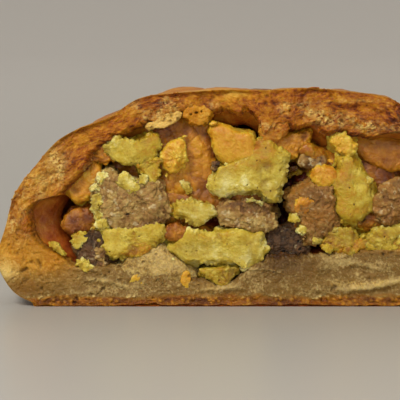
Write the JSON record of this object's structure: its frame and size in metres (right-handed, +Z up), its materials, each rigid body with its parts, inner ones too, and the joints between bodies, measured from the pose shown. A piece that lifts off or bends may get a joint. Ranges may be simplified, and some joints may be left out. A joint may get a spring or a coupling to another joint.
{
  "type": "breakfast sandwich",
  "caption": "Half of a round baked bun, cut through the middle, with a hollow of soft dough full of scrambled egg, sausage and melted cheese.",
  "frame": {"origin": "centre of the part's box, at the level of the flat base", "axes": "+X along the cut, to the right as seen from in front of it; +Y into the bun, away from the cut; +Z up"},
  "size_m": [0.1068, 0.0535, 0.044],
  "materials": {
    "dough": "baked dough: golden-brown crust, cream crumb at the cut",
    "scramble": "moist mix of egg, sausage crumbs and melted cheese",
    "egg": "moist scrambled egg curd",
    "sausage": "coarse cooked sausage crumble",
    "cheese": "melted orange cheese, glossy"
  },
  "bodies": {
    "root": {"bun": "dough", "cheese_cap": "cheese", "cheese_crumb": "cheese", "cheese_curtain": "cheese", "cheese_left": "cheese", "cheese_low": "cheese", "cheese_lump": "cheese", "cheese_roof": "cheese", "cheese_wall": "cheese", "cheese_yellow": "cheese", "egg_big": "egg", "egg_crumble": "egg", "egg_edge": "egg", "egg_end": "egg", "egg_end_low": "egg", "egg_hook": "egg", "egg_left": "egg", "egg_low": "egg", "egg_right": "egg", "egg_right_low": "egg", "egg_slab": "egg", "egg_strip": "egg", "egg_top": "egg", "filling": "scramble", "sausage_dark": "sausage", "sausage_edge": "sausage", "sausage_end": "sausage", "sausage_left": "sausage", "sausage_low": "sausage", "sausage_mid": "sausage", "sausage_right": "sausage"}
  },
  "joints": []
}
